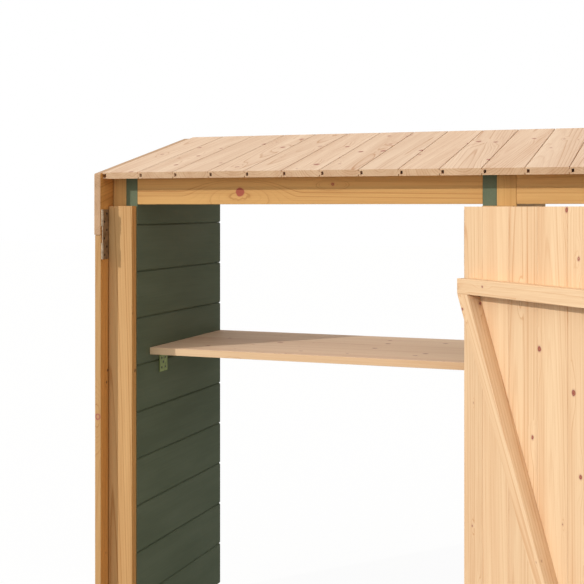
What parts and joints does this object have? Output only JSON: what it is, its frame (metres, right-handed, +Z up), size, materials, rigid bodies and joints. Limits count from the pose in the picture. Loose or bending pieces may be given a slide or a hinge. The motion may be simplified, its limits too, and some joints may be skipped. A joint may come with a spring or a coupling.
{
  "type": "log store",
  "caption": "Lean-to log store with two bays, a boarded roof falling to the front, painted side walls, a shelf and one hinged door leaf.",
  "frame": {"origin": "on the ground under the middle of the partition, at mid width and mid wall depth", "axes": "+X to the right along the front, +Y to the back, +Z up"},
  "size_m": [2.03, 0.8808, 1.3636],
  "materials": {
    "frame_pine": "planed, bare",
    "door_pine": "planed, bare",
    "roof_pine": "planed, bare",
    "green_painted_pine": "green paint, matt",
    "shelf_pine": "planed, bare",
    "zinc_steel": "zinc plated",
    "olive_steel": "yellow-green passivated"
  },
  "bodies": {
    "store": {"left_front_post": "frame_pine", "middle_front_post": "frame_pine", "right_front_post": "frame_pine", "left_back_post": "frame_pine", "middle_back_post": "frame_pine", "right_back_post": "frame_pine", "left_wall": "green_painted_pine", "partition_wall": "green_painted_pine", "right_wall": "green_painted_pine", "left_header": "frame_pine", "right_header": "frame_pine", "left_back_header": "frame_pine", "right_back_header": "frame_pine", "left_top_rail": "frame_pine", "middle_top_rail": "frame_pine", "right_top_rail": "frame_pine", "left_foot_rail": "frame_pine", "middle_foot_rail": "frame_pine", "right_foot_rail": "frame_pine", "roof_deck": "roof_pine", "left_barge_board": "roof_pine", "right_barge_board": "roof_pine", "left_side_board": "frame_pine", "right_side_board": "frame_pine", "left_batten": "frame_pine", "middle_batten": "frame_pine", "right_batten": "frame_pine", "shelf": "shelf_pine", "left_brackets": "olive_steel", "right_brackets": "olive_steel", "side_hinge_top": "zinc_steel", "side_hinge_bottom": "zinc_steel", "door_jamb": "frame_pine", "jamb_hinge_top": "zinc_steel", "jamb_hinge_bottom": "zinc_steel"},
    "door": {"door_panel": "door_pine", "top_ledge": "door_pine", "bottom_ledge": "door_pine", "brace": "door_pine", "door_hinge_top": "zinc_steel", "door_hinge_bottom": "zinc_steel"}
  },
  "joints": [
    {"name": "door_swing", "type": "hinge", "parent": "store", "child": "door", "pos_m": [-0.059, -0.278, 0.6], "axis": [0, 0, 1], "range_deg": [-137, 20]}
  ]
}
